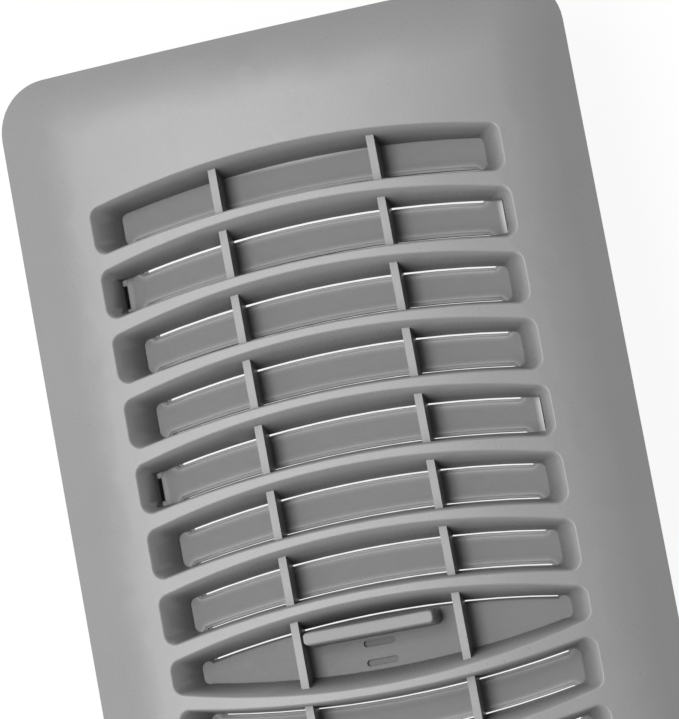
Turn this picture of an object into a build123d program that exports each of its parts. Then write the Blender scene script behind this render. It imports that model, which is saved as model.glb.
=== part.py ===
from build123d import *
from dataclasses import dataclass
import math
import os

# Floor register for a 4 x 10 inch duct opening, in moulded grey plastic.
# X runs across the register, Y along it, +Z up. The origin is on the collar's bottom rim, at its centre.
# Two mouldings: the face with its curved slots and duct collar, and the slide that shuts the slots.

# Slot pattern, at the height of the middle of the face (mm)
SLOT_PITCH = 15.85           # one slot and one slat
SLOTS_EACH_SIDE = 7          # slots on each side of the middle slot
SLAT_TOP = 2.15              # width of a slat's top, at the middle of the register
SLOT_HALF_WIDTH = 51.6       # centre line to a slot's end
OUTER_EDGE_RADIUS = 214.0    # slot edge away from the middle
INNER_EDGE_RADIUS = 254.0    # slot edge towards the middle
MIDDLE_HALF_HEIGHT = 10.1    # the middle slot is a lens, curved both ways
MIDDLE_EDGE_RADIUS = 217.0
LAST_SLOT_HEIGHT = 12.6      # the last slot at each end is a little lower than the pitch gives
LAST_EDGE_RADIUS = 238.0
SLOT_CORNER = 2.8            # corner radius of a slot on the face
SLOT_LIP = 0.35              # bevel of the slot edges on the face

# Slot walls: their feet, and how far each wall leans in from the face down to its foot
GRILLE_DEPTH = 11.0
OUTER_FOOT_RADIUS = 247.0
INNER_FOOT_RADIUS = 258.0
OUTER_LEAN = 3.7
INNER_LEAN = 1.4
MIDDLE_LEAN = 3.45
LAST_LEAN = 3.1
END_LEAN = 6.3
SLOT_FOOT_CORNER = 1.6

# Ribs along the register, and the walls of the moulding
RIB_OFFSET = 19.65
RIB_WIDTH = 1.9
RIB_TOP_DEPTH = 4.3          # face to rib top
SKIN = 2.0                   # thickness of the flange and face
WALL = 1.8                   # thickness of the collar and slot walls
CORE_ROOF = 0.9              # width of the hollow in a slat, at its roof
CORE_END_GAP = 2.0           # a slat's hollow stops this short of the slot's foot

# Collar and the hooks on it that carry the slide
HEIGHT = 38.0                # face to the collar's bottom rim
COLLAR_LEDGE = 2.4           # foot of a slot's end wall to the collar's inside
COLLAR_CORNER = 5.0
HOOK_SLOTS = (2, 5)          # slots with a hook at each end, counted from both ends of the register
HOOK_REACH = 2.0             # collar's inside to the hook's tip
HOOK_TIP = 0.7               # height of the tip
HOOK_ROOT = 3.2              # height at the collar
HOOK_LENGTH = 5.6

# Flange
FLANGE_SIDE = 20.35          # collar to the flange's edge, across
FLANGE_END = 22.4            # collar to the flange's edge, along
FLANGE_CORNER = 12.7
FACE_MARGIN = 0.9            # slot ends to the start of the flange's roll
CROWN_FALL = 3.4             # the face is crowned across: fall from its middle to its long edges
ROLL_FALL = 2.0              # fall of the roll along all the edges, on top of the crown
ROLL_CORNER_POWER = 3        # how squarely the roll turns the corners
ROLL_SECTIONS = 6
FLANGE_RIM = 0.9             # upright edge of the flange at the lowest part of its top

# Slide
SLIDE_THICKNESS = 1.8
SLIDE_CLEAR = 0.3            # over, under and at the ends of the slide
SIDE_PLAY = 0.8              # slide to collar, each side
TRAVEL = 6.5                 # shut to open
END_COVER = 0.4              # slide past the last slot when shut
BAR_GAP = 0.3                # each bar is narrower than its slot's foot by this, each side
MIDDLE_LAP = 0.5             # the middle bar laps under its slot's wall by this, away from the tab
BAR_EDGE = 0.8               # bevel of the bars' upper edges
SLIDE_RAIL = 3.9             # solid edge beside the slide's openings
SLIDE_CORNER = 3.0
OPENING_CORNER = 0.8         # cut across the corners of the slide's openings
PRONG_WIDTH = 9.0            # two prongs meet the collar when the slide is shut
PRONG_OFFSET = 32.0

# Thumb tab on the slide, between the ribs, and the two sunk marks beside it
TAB_THICKNESS = 2.8
TAB_CORNER = 0.9
TAB_TOP_DEPTH = 2.0          # face to tab top
TAB_LEAN = 0.7               # the tab widens to its foot by this, each side
TAB_EDGE = 0.4
TAB_LEFT_GAP = 1.1           # tab top to the ribs
TAB_RIGHT_GAP = 4.9
TAB_BACK_GAP = 1.07          # tab's foot to the foot of the middle slot's wall
MARK_LENGTH = 7.8
MARK_WIDTH = 1.6
MARK_SINK = 0.8
MARK_SHIFT = 0.4             # across, from the middle of the tab
MARK_BEHIND = 3.6            # tab to first mark
MARK_SPACING = 4.6

# Building margins
OVERSHOOT = 1.0              # cuts run past the faces that they open
CORNER_LIMIT = 0.45          # a corner radius takes no more than this share of the end that it rounds

# Heights
FACE_Z = HEIGHT
FOOT_Z = FACE_Z - GRILLE_DEPTH
SLIDE_TOP_Z = FOOT_Z - SLIDE_CLEAR
SLIDE_BOTTOM_Z = SLIDE_TOP_Z - SLIDE_THICKNESS
HOOK_TOP_Z = SLIDE_BOTTOM_Z - SLIDE_CLEAR
SEAT_Z = FACE_Z - CROWN_FALL - ROLL_FALL - FLANGE_RIM

# Plan sizes, from the slots outwards
FOOT_HALF_WIDTH = SLOT_HALF_WIDTH - END_LEAN
LAST_SLOT_CROWN = MIDDLE_HALF_HEIGHT + SLAT_TOP + (SLOTS_EACH_SIDE - 1) * SLOT_PITCH + LAST_SLOT_HEIGHT
SLIDE_HALF_LENGTH = LAST_SLOT_CROWN - LAST_LEAN + END_COVER
COLLAR_IN_HALF_WIDTH = FOOT_HALF_WIDTH + COLLAR_LEDGE
COLLAR_IN_HALF_LENGTH = SLIDE_HALF_LENGTH + TRAVEL + SLIDE_CLEAR
COLLAR_HALF_WIDTH = COLLAR_IN_HALF_WIDTH + WALL
COLLAR_HALF_LENGTH = COLLAR_IN_HALF_LENGTH + WALL
SLIDE_HALF_WIDTH = COLLAR_IN_HALF_WIDTH - SIDE_PLAY
FLANGE_HALF_WIDTH = COLLAR_HALF_WIDTH + FLANGE_SIDE
FLANGE_HALF_LENGTH = COLLAR_HALF_LENGTH + FLANGE_END
ROLL_WIDTH = FLANGE_HALF_WIDTH - SLOT_HALF_WIDTH - FACE_MARGIN


@dataclass
class CurvedEdge:
    """One curved edge of a slot: its crown and radius on the face and at the foot of its wall."""

    crown: float
    radius: float
    foot_crown: float
    foot_radius: float

    def at(self, depth):
        """Crown and radius of the edge at a depth below the face."""
        share = depth / GRILLE_DEPTH
        crown = self.crown + (self.foot_crown - self.crown) * share
        curvature = 1 / self.radius + (1 / self.foot_radius - 1 / self.radius) * share
        return crown, 1 / curvature

    def mirrored(self):
        return CurvedEdge(-self.crown, -self.radius, -self.foot_crown, -self.foot_radius)


def slot_edges(number):
    """Outer and inner edge of a slot in the upper half, counted from the end; the middle slot is last."""
    from_middle = SLOTS_EACH_SIDE + 1 - number
    if from_middle == 0:
        foot = MIDDLE_HALF_HEIGHT - MIDDLE_LEAN
        outer = CurvedEdge(MIDDLE_HALF_HEIGHT, MIDDLE_EDGE_RADIUS, foot, OUTER_FOOT_RADIUS)
        return outer, outer.mirrored()
    crown = MIDDLE_HALF_HEIGHT + SLAT_TOP + (from_middle - 1) * SLOT_PITCH
    inner = CurvedEdge(crown, INNER_EDGE_RADIUS, crown + INNER_LEAN, INNER_FOOT_RADIUS)
    if number == 1:
        foot = LAST_SLOT_CROWN - LAST_LEAN
        return CurvedEdge(LAST_SLOT_CROWN, LAST_EDGE_RADIUS, foot, OUTER_FOOT_RADIUS), inner
    crown = MIDDLE_HALF_HEIGHT + from_middle * SLOT_PITCH
    return CurvedEdge(crown, OUTER_EDGE_RADIUS, crown - OUTER_LEAN, OUTER_FOOT_RADIUS), inner


SLOTS = [slot_edges(number) for number in range(1, SLOTS_EACH_SIDE + 2)]


def height_at(crown, radius, x):
    """Y of an arc at x, from its crown on the centre line; a negative radius curves the other way."""
    sag = abs(radius) - math.sqrt(radius**2 - x**2)
    return crown - math.copysign(sag, radius)


def band(outer, inner, half_width, corner=0.0):
    """Flat face between two arcs (crown, radius), closed by straight ends, with its corners rounded."""
    outer_end = height_at(*outer, half_width)
    inner_end = height_at(*inner, half_width)
    edges = [
        ThreePointArc((-half_width, inner_end), (0, inner[0]), (half_width, inner_end)),
        Line((half_width, inner_end), (half_width, outer_end)),
        ThreePointArc((half_width, outer_end), (0, outer[0]), (-half_width, outer_end)),
        Line((-half_width, outer_end), (-half_width, inner_end)),
    ]
    face = make_face(edges)
    radius = min(corner, CORNER_LIMIT * (outer_end - inner_end))
    return fillet(face.vertices(), radius) if corner else face


def shifted(arc, offset):
    """The same arc, moved along Y."""
    return arc[0] + offset, arc[1]


def both_halves(shape):
    """The shape and its mirror image in the other half of the register."""
    return [shape, mirror(shape, about=Plane.XZ)]


def face_fall(x, y):
    """Fall of the top below the middle of the face: a crown across, and a roll along all the edges."""
    side = max(0, abs(x) - FLANGE_HALF_WIDTH + ROLL_WIDTH) / ROLL_WIDTH
    end = max(0, abs(y) - FLANGE_HALF_LENGTH + ROLL_WIDTH) / ROLL_WIDTH
    roll = (side**ROLL_CORNER_POWER + end**ROLL_CORNER_POWER) ** (1 / ROLL_CORNER_POWER)
    return CROWN_FALL * (x / FLANGE_HALF_WIDTH) ** 2 + ROLL_FALL * roll**2


def top_section(y, inset):
    """Upright section across the register under its crowned and rolled top, lowered by the inset."""
    roll_start = FLANGE_HALF_WIDTH - ROLL_WIDTH
    crown_steps = [roll_start * step / ROLL_SECTIONS for step in range(ROLL_SECTIONS)]
    roll_steps = [roll_start + ROLL_WIDTH * step / ROLL_SECTIONS for step in range(ROLL_SECTIONS + 1)]
    right = [*crown_steps, *roll_steps, FLANGE_HALF_WIDTH + OVERSHOOT]
    across = [-x for x in reversed(right[1:])] + right
    top = Spline(*[(x, FACE_Z - inset - face_fall(x, y)) for x in across])
    floor_z = SEAT_Z - inset - 2 * OVERSHOOT
    low_left = (across[0], floor_z)
    low_right = (across[-1], floor_z)
    profile = make_face([top, Line(top @ 1, low_right), Line(low_right, low_left), Line(low_left, top @ 0)])
    return Plane.XZ.offset(-y) * profile


def dome(inset):
    """Flange and face as a solid: crowned across, rolled along its edges, with an upright rim."""
    straight = FLANGE_HALF_LENGTH - ROLL_WIDTH
    stations = [straight + ROLL_WIDTH * step / ROLL_SECTIONS for step in range(ROLL_SECTIONS + 1)]
    end = loft([top_section(y, inset) for y in [*stations, FLANGE_HALF_LENGTH + OVERSHOOT]])
    pillow = extrude(top_section(straight, inset), amount=2 * straight) + both_halves(end)
    half_width = FLANGE_HALF_WIDTH - inset
    half_length = FLANGE_HALF_LENGTH - inset
    outline = RectangleRounded(2 * half_width, 2 * half_length, FLANGE_CORNER - inset / 2)
    foot_z = SEAT_Z - (OVERSHOOT if inset else 0)
    return pillow & extrude(Pos(0, 0, foot_z) * outline, amount=FACE_Z + OVERSHOOT - foot_z)


def throat():
    """Block that the slots are cut in: leaning sides under the face, ends that follow the last slots."""
    shoulder = SLOT_HALF_WIDTH + WALL
    lean_z = FACE_Z - (shoulder - COLLAR_HALF_WIDTH) * GRILLE_DEPTH / END_LEAN
    top = [(x, FACE_Z - SKIN / 2 - face_fall(x, 0)) for x in (shoulder / 2, shoulder)]
    right_side = [*top, (COLLAR_HALF_WIDTH, lean_z), (COLLAR_HALF_WIDTH, FOOT_Z)]
    left_side = [(-x, z) for x, z in reversed(right_side)]
    profile = make_face(Polyline(*right_side, *left_side, close=True))
    sides = extrude(Plane.XZ * profile, amount=COLLAR_HALF_LENGTH, both=True)
    end = LAST_SLOT_CROWN + WALL
    plan = band((end, LAST_EDGE_RADIUS), (-end, -LAST_EDGE_RADIUS), shoulder + OVERSHOOT)
    return sides & extrude(Pos(0, 0, FOOT_Z) * plan, amount=GRILLE_DEPTH)


def collar():
    """Wall that drops into the duct, open at the bottom."""
    outside = RectangleRounded(2 * COLLAR_HALF_WIDTH, 2 * COLLAR_HALF_LENGTH, COLLAR_CORNER)
    inside = RectangleRounded(2 * COLLAR_IN_HALF_WIDTH, 2 * COLLAR_IN_HALF_LENGTH, COLLAR_CORNER - WALL)
    return extrude(outside - inside, amount=FACE_Z - SKIN)


def slot_section(slot, depth):
    """Outline of a slot at a depth below the middle of the face."""
    share = depth / GRILLE_DEPTH
    half_width = SLOT_HALF_WIDTH - END_LEAN * share
    corner = SLOT_CORNER + (SLOT_FOOT_CORNER - SLOT_CORNER) * share
    return Pos(0, 0, FACE_Z - depth) * band(slot[0].at(depth), slot[1].at(depth), half_width, corner)


def slot_cut(slot):
    """Cutter for one slot, from below the foot of its walls to above the face."""
    return loft([slot_section(slot, GRILLE_DEPTH + OVERSHOOT), slot_section(slot, -OVERSHOOT)], ruled=True)


def hook_window(slot):
    """Cutter that opens a slot's end walls as far as the collar, above its hooks."""
    outer, inner = slot
    outline = band(outer.at(GRILLE_DEPTH), inner.at(GRILLE_DEPTH), COLLAR_IN_HALF_WIDTH)
    return extrude(Pos(0, 0, FOOT_Z - OVERSHOOT) * outline, amount=GRILLE_DEPTH)


def hooks(slot):
    """Pair of hooks on the collar below a slot's ends, with a sloping underside to snap past."""
    root = COLLAR_IN_HALF_WIDTH + WALL / 2
    tip = COLLAR_IN_HALF_WIDTH - HOOK_REACH
    top_edge = [(root, HOOK_TOP_Z), (tip, HOOK_TOP_Z)]
    lower_edge = [(tip, HOOK_TOP_Z - HOOK_TIP), (root, HOOK_TOP_Z - HOOK_ROOT)]
    profile = make_face(Polyline(*top_edge, *lower_edge, close=True))
    centre = sum(height_at(*edge.at(GRILLE_DEPTH), tip) for edge in slot) / 2
    right = Pos(0, centre, 0) * extrude(Plane.XZ * profile, amount=HOOK_LENGTH / 2, both=True)
    return [right, mirror(right, about=Plane.YZ)]


def slat_core(slot, next_slot):
    """Hollow under the slat between two slots, which keeps its walls even."""
    upper = slot[1]
    lower = next_slot[0]
    spread = (upper.foot_crown - upper.crown) + (lower.crown - lower.foot_crown)
    roof_depth = (2 * WALL + CORE_ROOF - SLAT_TOP) * GRILLE_DEPTH / spread
    sections = []
    for depth in (GRILLE_DEPTH + OVERSHOOT, roof_depth):
        outline = band(
            shifted(upper.at(depth), -WALL), shifted(lower.at(depth), WALL), FOOT_HALF_WIDTH - CORE_END_GAP
        )
        sections.append(Pos(0, 0, FACE_Z - depth) * outline)
    return loft(sections, ruled=True)


def ribs():
    """Two ribs along the register that tie the slats together below the face."""
    align = (Align.CENTER, Align.CENTER, Align.MIN)
    rib = Box(RIB_WIDTH, 2 * LAST_SLOT_CROWN, GRILLE_DEPTH - RIB_TOP_DEPTH, align=align)
    return [Pos(side * RIB_OFFSET, 0, FOOT_Z) * rib for side in (-1, 1)]


def face_grille():
    """The whole face moulding."""
    body = dome(0) - dome(SKIN) + throat() + collar()
    body -= [cut for slot in SLOTS[:-1] for cut in both_halves(slot_cut(slot))] + [slot_cut(SLOTS[-1])]
    lips = body.faces().sort_by(Axis.Z)[-1].inner_wires()
    body = chamfer([edge for lip in lips for edge in lip.edges()], SLOT_LIP)
    hooked = [SLOTS[number - 1] for number in HOOK_SLOTS]
    body -= [cut for slot in hooked for cut in both_halves(hook_window(slot))]
    cores = [slat_core(slot, next_slot) for slot, next_slot in zip(SLOTS, SLOTS[1:])]
    body -= [cut for core in cores for cut in both_halves(core)]
    body += ribs()
    body += [piece for slot in hooked for hook in hooks(slot) for piece in both_halves(hook)]
    return body


def slide_openings():
    """Openings of the slide's upper half: each lies under a slat when the slide is shut."""
    openings = []
    for slot, next_slot in zip(SLOTS, SLOTS[1:]):
        upper = shifted(slot[1].at(GRILLE_DEPTH), BAR_GAP)
        lower = shifted(next_slot[0].at(GRILLE_DEPTH), -BAR_GAP)
        opening = band(upper, lower, SLIDE_HALF_WIDTH - SLIDE_RAIL)
        openings.append(chamfer(opening.vertices(), OPENING_CORNER))
    return openings


def slide_plate():
    """Flat plate with an opening for each slat and bevelled upper edges on its bars."""
    plan = RectangleRounded(2 * SLIDE_HALF_WIDTH, 2 * SLIDE_HALF_LENGTH, SLIDE_CORNER)
    plan -= [half for opening in slide_openings() for half in both_halves(opening)]
    foot = SLOTS[-1][1].at(GRILLE_DEPTH)
    lap_width = SLIDE_HALF_WIDTH - SLIDE_RAIL / 2
    plan += band(shifted(foot, BAR_GAP + OVERSHOOT), shifted(foot, -MIDDLE_LAP), lap_width)
    plate = extrude(Pos(0, 0, SLIDE_BOTTOM_Z) * plan, amount=SLIDE_THICKNESS)
    rims = plate.faces().sort_by(Axis.Z)[-1].inner_wires()
    return chamfer([edge for rim in rims for edge in rim.edges()], BAR_EDGE)


def prongs():
    """Two prongs that meet the collar's end when the slide is shut."""
    align = (Align.CENTER, Align.MAX, Align.MIN)
    prong = Box(PRONG_WIDTH, TRAVEL + SLIDE_CORNER, SLIDE_THICKNESS, align=align)
    end = SLIDE_HALF_LENGTH + TRAVEL
    return [Pos(side * PRONG_OFFSET, end, SLIDE_BOTTOM_Z) * prong for side in (-1, 1)]


def damper_slide():
    """Sliding plate with its thumb tab and marks, in the shut position."""
    tab_length = 2 * RIB_OFFSET - RIB_WIDTH - TAB_LEFT_GAP - TAB_RIGHT_GAP
    tab_x = (TAB_LEFT_GAP - TAB_RIGHT_GAP) / 2
    tab_y = MIDDLE_HALF_HEIGHT - MIDDLE_LEAN - TAB_BACK_GAP - TAB_LEAN - TAB_THICKNESS / 2
    top = RectangleRounded(tab_length, TAB_THICKNESS, TAB_CORNER)
    foot = RectangleRounded(tab_length + 2 * TAB_LEAN, TAB_THICKNESS + 2 * TAB_LEAN, TAB_CORNER + TAB_LEAN)
    tab = loft([Pos(tab_x, tab_y, SLIDE_TOP_Z) * foot, Pos(tab_x, tab_y, FACE_Z - TAB_TOP_DEPTH) * top])
    tab = fillet(tab.edges().group_by(Axis.Z)[-1], TAB_EDGE)

    marks = []
    for place in range(2):
        mark_y = tab_y - MARK_BEHIND - place * MARK_SPACING
        outline = Pos(tab_x + MARK_SHIFT, mark_y, SLIDE_TOP_Z) * SlotOverall(MARK_LENGTH, MARK_WIDTH)
        marks.append(extrude(outline, amount=-MARK_SINK))
    return slide_plate() - marks + prongs() + tab


os.makedirs("parts", exist_ok=True)
export_step(face_grille(), "parts/face_grille.step")
export_step(damper_slide(), "parts/damper_slide.step")
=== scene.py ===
import math

import bmesh
import bpy
from bpy.props import FloatProperty, FloatVectorProperty, PointerProperty
from bpy.types import Operator, Panel, PropertyGroup
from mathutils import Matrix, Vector


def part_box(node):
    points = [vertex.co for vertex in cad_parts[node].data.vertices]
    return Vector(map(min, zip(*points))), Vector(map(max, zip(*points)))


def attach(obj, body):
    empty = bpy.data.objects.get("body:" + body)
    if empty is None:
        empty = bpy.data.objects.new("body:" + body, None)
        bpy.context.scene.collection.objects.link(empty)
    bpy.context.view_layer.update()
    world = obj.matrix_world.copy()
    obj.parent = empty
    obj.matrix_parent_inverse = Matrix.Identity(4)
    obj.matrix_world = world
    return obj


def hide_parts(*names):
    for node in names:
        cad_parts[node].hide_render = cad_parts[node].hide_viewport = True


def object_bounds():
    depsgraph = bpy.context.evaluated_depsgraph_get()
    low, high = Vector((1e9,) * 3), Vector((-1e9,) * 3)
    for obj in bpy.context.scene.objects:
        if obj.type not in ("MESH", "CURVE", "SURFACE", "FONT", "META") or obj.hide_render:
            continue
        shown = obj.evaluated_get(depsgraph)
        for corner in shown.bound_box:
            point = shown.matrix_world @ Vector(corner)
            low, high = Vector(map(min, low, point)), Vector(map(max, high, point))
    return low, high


bl_info = {
    "name": "Floor register",
    "version": (1, 0, 0),
    "blender": (4, 5, 0),
    "location": "View3D > Sidebar > Register",
    "description": "Dresses the floor register's face and slide and sets up its stage",
    "category": "Object",
}

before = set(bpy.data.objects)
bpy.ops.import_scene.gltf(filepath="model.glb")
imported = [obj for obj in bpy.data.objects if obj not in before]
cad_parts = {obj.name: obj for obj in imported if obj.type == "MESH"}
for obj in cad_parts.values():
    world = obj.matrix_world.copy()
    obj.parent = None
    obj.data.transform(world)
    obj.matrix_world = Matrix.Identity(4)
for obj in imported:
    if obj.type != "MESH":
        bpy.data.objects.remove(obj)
CAD_LOW, CAD_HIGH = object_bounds()

# Upward share of a surface's normal, above which it is a lip, and above which it is a top
LIP_LEVELS = (0.6, 0.9)
# Where nearly all values of a noise lie, and how finely the two noises are broken up
NOISE_RANGE = (0.25, 0.75)
GRAIN_DETAIL = 2.0
CLOUD_DETAIL = 3.0
# Rays that feel for other surfaces round each point
OPENNESS_SAMPLES = 8
# The photograph's left, where the room is lighter
LEFT = (-1.0, 0.0, 0.0)
# How far the camera sees, in metres
CAMERA_REACH = 20.0


class PlasticSettings(PropertyGroup):
    """Colours and finish of the two mouldings"""

    face_colour: FloatVectorProperty(
        name="Face colour",
        description="Grey of the face moulding",
        subtype="COLOR",
        default=(0.205, 0.205, 0.205),
        min=0.0,
        max=1.0,
    )
    slide_colour: FloatVectorProperty(
        name="Slide colour",
        description="Grey of the slide",
        subtype="COLOR",
        default=(0.23, 0.23, 0.23),
        min=0.0,
        max=1.0,
    )
    face_roughness: FloatProperty(
        name="Face roughness",
        description="Satin of the moulded grain, before its small variations",
        subtype="FACTOR",
        default=0.3,
        min=0.0,
        max=1.0,
    )
    slide_roughness: FloatProperty(
        name="Slide roughness",
        description="Duller finish of the slide, before its small variations",
        subtype="FACTOR",
        default=0.5,
        min=0.0,
        max=1.0,
    )
    grain_size: FloatProperty(
        name="Grain size",
        description="Size of the fine grain that the mould leaves",
        unit="LENGTH",
        default=0.0006,
        min=0.00005,
    )
    grain_depth: FloatProperty(
        name="Grain depth",
        description="Depth of that grain",
        unit="LENGTH",
        default=0.000012,
        min=0.0,
    )
    gloss_change: FloatProperty(
        name="Gloss change",
        description="How far the grain changes the roughness, up and down",
        subtype="FACTOR",
        default=0.04,
        min=0.0,
        max=1.0,
    )
    cloud_size: FloatProperty(
        name="Cloud size",
        description="Size of the faint lighter and darker patches in the plastic",
        unit="LENGTH",
        default=0.03,
        min=0.001,
    )
    cloud_strength: FloatProperty(
        name="Cloud strength",
        description="How far those patches depart from the colour",
        subtype="FACTOR",
        default=0.03,
        min=0.0,
        max=1.0,
    )
    # Painted shade: the face's colour is darkened where other surfaces lie close, deep in its slots
    slot_reach: FloatProperty(
        name="Slot reach",
        description="The face is shaded darker where other surfaces lie closer than this",
        unit="LENGTH",
        default=0.012,
        min=0.0,
    )
    slot_shade: FloatProperty(
        name="Slot shade",
        description="Share of the face's colour that is left in the deepest corners",
        subtype="FACTOR",
        default=0.35,
        min=0.0,
        max=1.0,
    )
    # Painted shade: the slide's bars are darker than the top of its tab
    bar_shade: FloatProperty(
        name="Bar shade",
        description="Share of the slide's colour left on its bars, rising to all of it at the tab's top",
        subtype="FACTOR",
        default=0.55,
        min=0.0,
        max=1.0,
    )
    # Painted shade: the slide is darker below its bars' edges, as in the sunk marks
    mark_shade: FloatProperty(
        name="Mark shade",
        description="Share of the slide's colour left below its bars' edges, as in the sunk marks",
        subtype="FACTOR",
        default=0.36,
        min=0.0,
        max=1.0,
    )
    bar_top: FloatProperty(
        name="Bar top",
        description="Height of the upper side of the slide's bars",
        unit="LENGTH",
        default=0.0267,
        min=0.0,
    )
    # Painted highlight: the next four settings place a paler colour painted along the bars' thin edges
    edge_depth: FloatProperty(
        name="Edge depth",
        description="Depth below the bars' upper side that still counts as their edge",
        unit="LENGTH",
        default=0.0007,
        min=0.0,
    )
    thumb_bar: FloatProperty(
        name="Thumb bar",
        description="Distance from the middle, just past the tab's bar, where edges aren't paler",
        unit="LENGTH",
        default=0.009,
        min=0.0,
    )
    edge_highlight_reach: FloatProperty(
        name="Edge reach",
        description="How far in from its thin edges a bar looks paler",
        unit="LENGTH",
        default=0.0016,
        min=0.0,
    )
    edge_highlight_colour: FloatVectorProperty(
        name="Edge colour",
        description="Paler grey that those edges tend to",
        subtype="COLOR",
        default=(0.9, 0.9, 0.9),
        min=0.0,
        max=1.0,
    )


class SurfaceSettings(PropertyGroup):
    """How the mouldings' surfaces are joined and shaded"""

    weld_distance: FloatProperty(
        name="Weld distance",
        description="Points of neighbouring surfaces this close become one",
        unit="LENGTH",
        default=0.000002,
        min=0.0,
    )
    flat_angle: FloatProperty(
        name="Flat angle",
        description="Neighbouring facets turned by less than this become one flat surface",
        subtype="ANGLE",
        default=math.radians(0.4),
    )
    crease_angle: FloatProperty(
        name="Crease angle",
        description="Edges turned by more than this stay sharp",
        subtype="ANGLE",
        default=math.radians(58),
    )
    wall_depth: FloatProperty(
        name="Wall depth",
        description="Height of the slots' walls, over which their shading turns up",
        unit="LENGTH",
        default=0.011,
        min=0.001,
    )
    wall_roll: FloatProperty(
        name="Wall roll",
        description="How far the shading of the walls turns up towards their lips",
        subtype="FACTOR",
        default=0.6,
        min=0.0,
        max=1.0,
    )


class StageSettings(PropertyGroup):
    """Camera, lights and floor"""

    camera_place: FloatVectorProperty(
        name="Camera place",
        description="Where the camera stands",
        subtype="TRANSLATION",
        unit="LENGTH",
        default=(0.14781, -0.00644, 0.77766),
    )
    camera_turn: FloatVectorProperty(
        name="Camera turn",
        description="How the camera is turned",
        subtype="EULER",
        default=tuple(math.radians(angle) for angle in (3.4098, 11.8531, -10.6561)),
    )
    camera_lens: FloatProperty(
        name="Lens",
        description="Focal length on a 36 mm wide sensor, in millimetres",
        default=161.13,
        min=1.0,
    )
    key_place: FloatVectorProperty(
        name="Key light place",
        description="Where the soft light above the register hangs",
        subtype="TRANSLATION",
        unit="LENGTH",
        default=(-0.292, 0.1, 0.994),
    )
    key_aim: FloatVectorProperty(
        name="Key light aim",
        description="Point on the face that the soft light faces",
        subtype="TRANSLATION",
        unit="LENGTH",
        default=(0.0, 0.06, CAD_HIGH.z),
    )
    key_size: FloatVectorProperty(
        name="Key light size",
        description="Length of that light along the register, and its width across",
        size=2,
        unit="LENGTH",
        default=(0.8, 0.45),
    )
    key_power: FloatProperty(
        name="Key light power",
        description="Power of that light",
        unit="POWER",
        default=8.0,
        min=0.0,
    )
    room_light: FloatProperty(
        name="Room light",
        description="Even light from the pale room all round",
        default=0.15,
        min=0.0,
    )
    side_light: FloatProperty(
        name="Side light",
        description="Extra light from the room's left side, which fades out towards the middle",
        default=2.4,
        min=0.0,
    )
    floor_size: FloatProperty(
        name="Floor size",
        description="Side of the pale floor",
        unit="LENGTH",
        default=6.0,
        min=0.5,
    )
    floor_colour: FloatVectorProperty(
        name="Floor colour",
        description="Colour of the floor where the register's shadow falls",
        subtype="COLOR",
        default=(0.9, 0.9, 0.9),
        min=0.0,
        max=1.0,
    )
    floor_roughness: FloatProperty(
        name="Floor roughness",
        description="Dullness of the floor",
        subtype="FACTOR",
        default=0.9,
        min=0.0,
        max=1.0,
    )
    floor_white: FloatProperty(
        name="Floor white",
        description="Share of plain white in what the camera sees of the floor",
        subtype="FACTOR",
        default=0.93,
        min=0.0,
        max=1.0,
    )


def noise(tree, coordinates, size, detail):
    """Noise with features of a given size in metres."""
    node = tree.nodes.new("ShaderNodeTexNoise")
    node.inputs["Scale"].default_value = 1.0 / size
    node.inputs["Detail"].default_value = detail
    tree.links.new(coordinates, node.inputs["Vector"])
    return node.outputs["Fac"]


def mapped(tree, value, source, target):
    """Maps one range of a value to another, and holds it at their ends."""
    node = tree.nodes.new("ShaderNodeMapRange")
    node.inputs["From Min"].default_value = source[0]
    node.inputs["From Max"].default_value = source[1]
    node.inputs["To Min"].default_value = target[0]
    node.inputs["To Max"].default_value = target[1]
    tree.links.new(value, node.inputs["Value"])
    return node.outputs["Result"]


def computed(tree, operation, *values):
    """A Math node on values that are sockets or numbers."""
    node = tree.nodes.new("ShaderNodeMath")
    node.operation = operation
    for entry, value in zip(node.inputs, values):
        if isinstance(value, bpy.types.NodeSocket):
            tree.links.new(value, entry)
        else:
            entry.default_value = value
    return node.outputs["Value"]


def openness(tree, reach):
    """Node that tells how freely a surface lies: 1 in the open, less with others within reach."""
    node = tree.nodes.new("ShaderNodeAmbientOcclusion")
    node.samples = OPENNESS_SAMPLES
    node.inputs["Distance"].default_value = reach
    return node


def blended(tree, factor, colour_a, colour_b):
    """Mixes two colours, each given as a value or as a socket."""
    mix = tree.nodes.new("ShaderNodeMix")
    mix.data_type = "RGBA"
    tree.links.new(factor, mix.inputs["Factor"])
    for name, colour in (("A", colour_a), ("B", colour_b)):
        if isinstance(colour, bpy.types.NodeSocket):
            tree.links.new(colour, mix.inputs[name])
        else:
            mix.inputs[name].default_value = (*colour, 1.0)
    return mix.outputs["Result"]


def shaded(colour, share):
    """A colour made darker or lighter by a share."""
    return [channel * share for channel in colour]


def satin_plastic(name, roughness, settings):
    """Satin plastic with the mould's fine grain in its gloss and its surface, and no colour yet."""
    material = bpy.data.materials.new(name)
    material.use_nodes = True
    tree = material.node_tree
    shader = tree.nodes["Principled BSDF"]
    coordinates = tree.nodes.new("ShaderNodeTexCoord").outputs["Object"]
    grain = noise(tree, coordinates, settings.grain_size, GRAIN_DETAIL)
    gloss = (roughness - settings.gloss_change, roughness + settings.gloss_change)
    tree.links.new(mapped(tree, grain, NOISE_RANGE, gloss), shader.inputs["Roughness"])
    bump = tree.nodes.new("ShaderNodeBump")
    bump.inputs["Strength"].default_value = 1.0
    bump.inputs["Distance"].default_value = settings.grain_depth
    tree.links.new(grain, bump.inputs["Height"])
    tree.links.new(bump.outputs["Normal"], shader.inputs["Normal"])
    return material, coordinates


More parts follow.
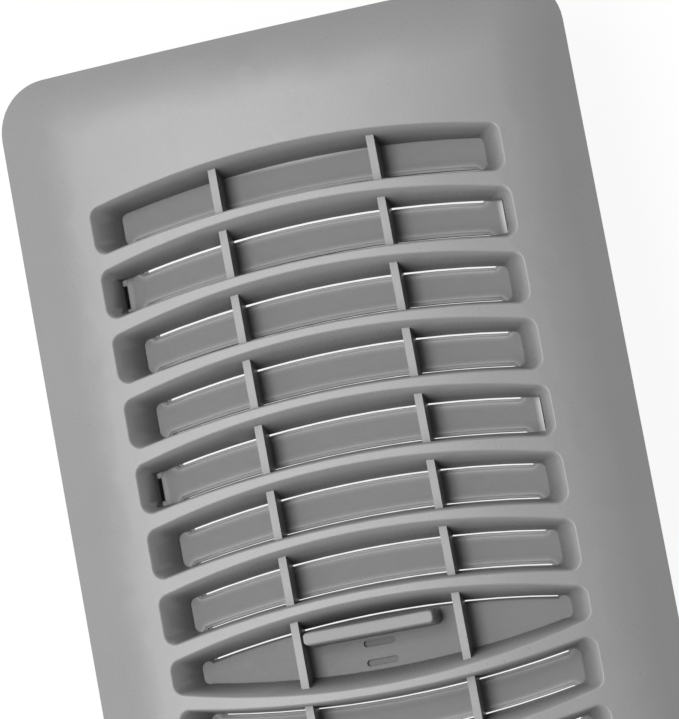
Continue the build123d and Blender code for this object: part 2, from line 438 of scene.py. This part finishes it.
def cloudy(tree, coordinates, colour, settings):
    """The plastic's colour, with faint lighter and darker patches."""
    patches = noise(tree, coordinates, settings.cloud_size, CLOUD_DETAIL)
    clouds = mapped(tree, patches, NOISE_RANGE, (0.0, 1.0))
    change = settings.cloud_strength
    return blended(tree, clouds, shaded(colour, 1.0 - change), shaded(colour, 1.0 + change))


def face_plastic(settings):
    """Grained plastic of the face, with painted shade deep between its walls."""
    material, coordinates = satin_plastic("Grained face plastic", settings.face_roughness, settings)
    tree = material.node_tree
    open_colour = cloudy(tree, coordinates, settings.face_colour, settings)
    # Painted shade: darker where other surfaces lie close, as in the slots
    shaded_slot_colour = shaded(settings.face_colour, settings.slot_shade)
    shown = blended(tree, openness(tree, settings.slot_reach).outputs["AO"], shaded_slot_colour, open_colour)
    tree.links.new(shown, tree.nodes["Principled BSDF"].inputs["Base Color"])
    return material


def slide_plastic(settings):
    """Plastic of the slide: darker low parts and marks in painted shade, and a painted highlight that
    makes its bars' thin edges paler.
    """
    material, coordinates = satin_plastic("Slide plastic", settings.slide_roughness, settings)
    tree = material.node_tree
    axes = tree.nodes.new("ShaderNodeSeparateXYZ")
    tree.links.new(coordinates, axes.inputs["Vector"])
    # Painted shade: the bars are darker, rising to the full colour at the tab's top
    tab_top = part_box("damper_slide")[1].z
    height = mapped(tree, axes.outputs["Z"], (settings.bar_top, tab_top), (0.0, 1.0))
    tab_colour = cloudy(tree, coordinates, settings.slide_colour, settings)
    shaded_bar_colour = shaded(settings.slide_colour, settings.bar_shade)
    upper = blended(tree, height, shaded_bar_colour, tab_colour)

    # Painted shade below the bars' edges, as in the sunk marks
    edge_foot = settings.bar_top - settings.edge_depth
    sunk = computed(tree, "LESS_THAN", axes.outputs["Z"], edge_foot)
    shaded_mark_colour = shaded(settings.slide_colour, settings.mark_shade)
    marked = blended(tree, sunk, upper, shaded_mark_colour)

    # Painted highlight: the bars' thin edges turn paler, except near the middle bar with the tab
    thickness = openness(tree, settings.edge_highlight_reach)
    thickness.inside = True
    thickness.only_local = True
    thin = computed(tree, "SUBTRACT", 1.0, thickness.outputs["AO"])
    on_bars = computed(tree, "COMPARE", axes.outputs["Z"], settings.bar_top, settings.edge_depth)
    from_middle = computed(tree, "ABSOLUTE", axes.outputs["Y"])
    past_thumb_bar = computed(tree, "GREATER_THAN", from_middle, settings.thumb_bar)
    where = computed(tree, "MULTIPLY", on_bars, past_thumb_bar)
    shown = blended(tree, computed(tree, "MULTIPLY", where, thin), marked, settings.edge_highlight_colour)
    tree.links.new(shown, tree.nodes["Principled BSDF"].inputs["Base Color"])
    return material


def smooth_fan(face, corner):
    """The surfaces round a corner that run on smoothly from one of them."""
    fan = [face]
    for current in fan:
        for edge in current.edges:
            if edge.smooth and corner in edge.verts:
                fan.extend(other for other in edge.link_faces if other not in fan)
    return fan


def soft_lip_normals(skin, settings):
    """Normals for the shading alone: flat tops stay flat, and walls turn softly up to their lips."""
    levels = {face: sum(face.normal.z > level for level in LIP_LEVELS) for face in skin.faces}
    foot = CAD_HIGH.z - settings.wall_depth
    areas = {face: face.calc_area() for face in skin.faces}
    normals = []
    for face in skin.faces:
        for corner in face.verts:
            fan = smooth_fan(face, corner)
            highest = max(levels[other] for other in fan)
            total = Vector()
            for other in fan:
                if levels[other] == highest:
                    total += other.normal * areas[other]
            total.normalize()
            if highest == 0:
                height = (corner.co.z - foot) / settings.wall_depth
                total.z += settings.wall_roll * min(max(height, 0.0), 1.0)
            normals.append(total.normalized())
    return normals


def dressed_moulding(node, body, material, settings):
    """The visible moulding: the solid's skin, welded, with whole flat tops and soft shading."""
    skin = bmesh.new()
    skin.from_mesh(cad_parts[node].data)
    bmesh.ops.remove_doubles(skin, verts=skin.verts, dist=settings.weld_distance)
    skin.normal_update()
    tops = {face for face in skin.faces if face.normal.z > LIP_LEVELS[-1]}
    inner_verts = [vert for vert in skin.verts if tops.issuperset(vert.link_faces)]
    inner_edges = [edge for edge in skin.edges if tops.issuperset(edge.link_faces)]
    bmesh.ops.dissolve_limit(
        skin, angle_limit=settings.flat_angle, verts=inner_verts, edges=inner_edges
    )
    for edge in skin.edges:
        edge.smooth = edge.calc_face_angle(math.pi) < settings.crease_angle
    for face in skin.faces:
        face.smooth = True
    skin.normal_update()
    normals = soft_lip_normals(skin, settings)
    mesh = bpy.data.meshes.new(node + "_moulding")
    skin.to_mesh(mesh)
    skin.free()
    mesh.normals_split_custom_set(normals)
    mesh.materials.append(material)

    piece = bpy.data.objects.new(node + "_moulding", mesh)
    bpy.context.scene.collection.objects.link(piece)
    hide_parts(node)
    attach(piece, body)


class REGISTER_OT_face(Operator):
    """Makes the visible face: flange, slats, ribs and collar in grained grey plastic"""

    bl_idname = "floor_register.face"
    bl_label = "Face moulding"

    def execute(self, context):
        finish = face_plastic(context.scene.register_plastic)
        surface = context.scene.register_surface
        dressed_moulding("face_grille", "face", finish, surface)
        return {"FINISHED"}


class REGISTER_OT_slide(Operator):
    """Makes the visible slide: bars, thumb tab and sunk marks in duller grey plastic"""

    bl_idname = "floor_register.slide"
    bl_label = "Damper slide"

    def execute(self, context):
        finish = slide_plastic(context.scene.register_plastic)
        surface = context.scene.register_surface
        dressed_moulding("damper_slide", "damper", finish, surface)
        return {"FINISHED"}


def seen_directly(tree):
    """1 for rays from the camera, a gloss or a glass, and 0 for those that gather soft light."""
    path = tree.nodes.new("ShaderNodeLightPath")
    seen = computed(tree, "MAXIMUM", path.outputs["Is Camera Ray"], path.outputs["Is Glossy Ray"])
    return computed(tree, "MAXIMUM", seen, path.outputs["Is Transmission Ray"])


def white_where_seen(tree, lit, light_node, share):
    """Shows plain white to the camera, mixed by a share with what the light gives."""
    white = tree.nodes.new(light_node)
    white.inputs["Strength"].default_value = 1.0
    mix = tree.nodes.new("ShaderNodeMixShader")
    tree.links.new(computed(tree, "MULTIPLY", seen_directly(tree), share), mix.inputs["Fac"])
    tree.links.new(lit, mix.inputs[1])
    tree.links.new(white.outputs[0], mix.inputs[2])
    return mix.outputs[0]


def pale_floor(settings):
    """Floor under the register, which is seen as nearly white and keeps a faint shadow."""
    half = settings.floor_size / 2
    mesh = bpy.data.meshes.new("pale_floor")
    corners = [(-half, -half, 0), (half, -half, 0), (half, half, 0), (-half, half, 0)]
    mesh.from_pydata(corners, [], [(0, 1, 2, 3)])
    material = bpy.data.materials.new("Pale floor")
    material.use_nodes = True
    tree = material.node_tree
    shader = tree.nodes["Principled BSDF"]
    shader.inputs["Base Color"].default_value = (*settings.floor_colour, 1.0)
    shader.inputs["Roughness"].default_value = settings.floor_roughness
    shown = white_where_seen(tree, shader.outputs["BSDF"], "ShaderNodeEmission", settings.floor_white)
    tree.links.new(shown, tree.nodes["Material Output"].inputs["Surface"])
    mesh.materials.append(material)
    floor = bpy.data.objects.new("pale_floor", mesh)
    bpy.context.scene.collection.objects.link(floor)


def studio_room(settings):
    """Soft light from all round, stronger from the left, in a room that is seen as plain white."""
    world = bpy.data.worlds.new("Pale room")
    world.use_nodes = True
    tree = world.node_tree
    room = tree.nodes["Background"]
    room.inputs["Color"].default_value = (1.0, 1.0, 1.0, 1.0)
    leftward = tree.nodes.new("ShaderNodeVectorMath")
    leftward.operation = "DOT_PRODUCT"
    leftward.inputs[1].default_value = LEFT
    tree.links.new(tree.nodes.new("ShaderNodeTexCoord").outputs["Generated"], leftward.inputs[0])
    strengths = (settings.room_light, settings.room_light + settings.side_light)
    strength = mapped(tree, leftward.outputs["Value"], (0.0, 1.0), strengths)
    tree.links.new(strength, room.inputs["Strength"])
    shown = white_where_seen(tree, room.outputs["Background"], "ShaderNodeBackground", 1.0)
    tree.links.new(shown, tree.nodes["World Output"].inputs["Surface"])
    bpy.context.scene.world = world


def soft_light(name, place, aim, size, power):
    """Rectangular soft light that faces a point."""
    data = bpy.data.lights.new(name, "AREA")
    data.shape = "RECTANGLE"
    data.size = size[0]
    data.size_y = size[1]
    data.energy = power
    lamp = bpy.data.objects.new(name, data)
    lamp.location = place
    lamp.rotation_euler = (Vector(aim) - Vector(place)).to_track_quat("-Z", "Y").to_euler()
    bpy.context.scene.collection.objects.link(lamp)


class REGISTER_OT_stage(Operator):
    """Sets up the pale floor, the soft studio light and the camera"""

    bl_idname = "floor_register.stage"
    bl_label = "Stage"

    def execute(self, context):
        settings = context.scene.register_stage
        pale_floor(settings)
        studio_room(settings)
        soft_light(
            "key_light", settings.key_place, settings.key_aim, settings.key_size, settings.key_power
        )

        data = bpy.data.cameras.new("photo_camera")
        data.lens = settings.camera_lens
        data.clip_end = CAMERA_REACH
        camera = bpy.data.objects.new("photo_camera", data)
        camera.location = settings.camera_place
        camera.rotation_euler = settings.camera_turn
        context.scene.collection.objects.link(camera)
        context.scene.camera = camera
        context.scene.view_settings.view_transform = "Standard"
        return {"FINISHED"}


class REGISTER_PT_sidebar(Panel):
    """Lists the register's pieces and its stage"""

    bl_label = "Floor register"
    bl_space_type = "VIEW_3D"
    bl_region_type = "UI"
    bl_category = "Register"

    def draw(self, context):
        for operator in OPERATORS:
            self.layout.operator(operator.bl_idname)
        for name, group in SETTINGS.items():
            for prop in group.__annotations__:
                self.layout.prop(getattr(context.scene, name), prop)


SETTINGS = {
    "register_plastic": PlasticSettings,
    "register_surface": SurfaceSettings,
    "register_stage": StageSettings,
}
OPERATORS = (REGISTER_OT_face, REGISTER_OT_slide, REGISTER_OT_stage)
CLASSES = (*SETTINGS.values(), *OPERATORS, REGISTER_PT_sidebar)


def register():
    for cls in CLASSES:
        bpy.utils.register_class(cls)
    for name, group in SETTINGS.items():
        setattr(bpy.types.Scene, name, PointerProperty(type=group))


def unregister():
    for name in SETTINGS:
        delattr(bpy.types.Scene, name)
    for cls in reversed(CLASSES):
        bpy.utils.unregister_class(cls)


def main():
    """Makes the pieces and the stage."""
    register()
    bpy.ops.floor_register.face()
    bpy.ops.floor_register.slide()
    bpy.ops.floor_register.stage()


if __name__ == "__main__":
    main()
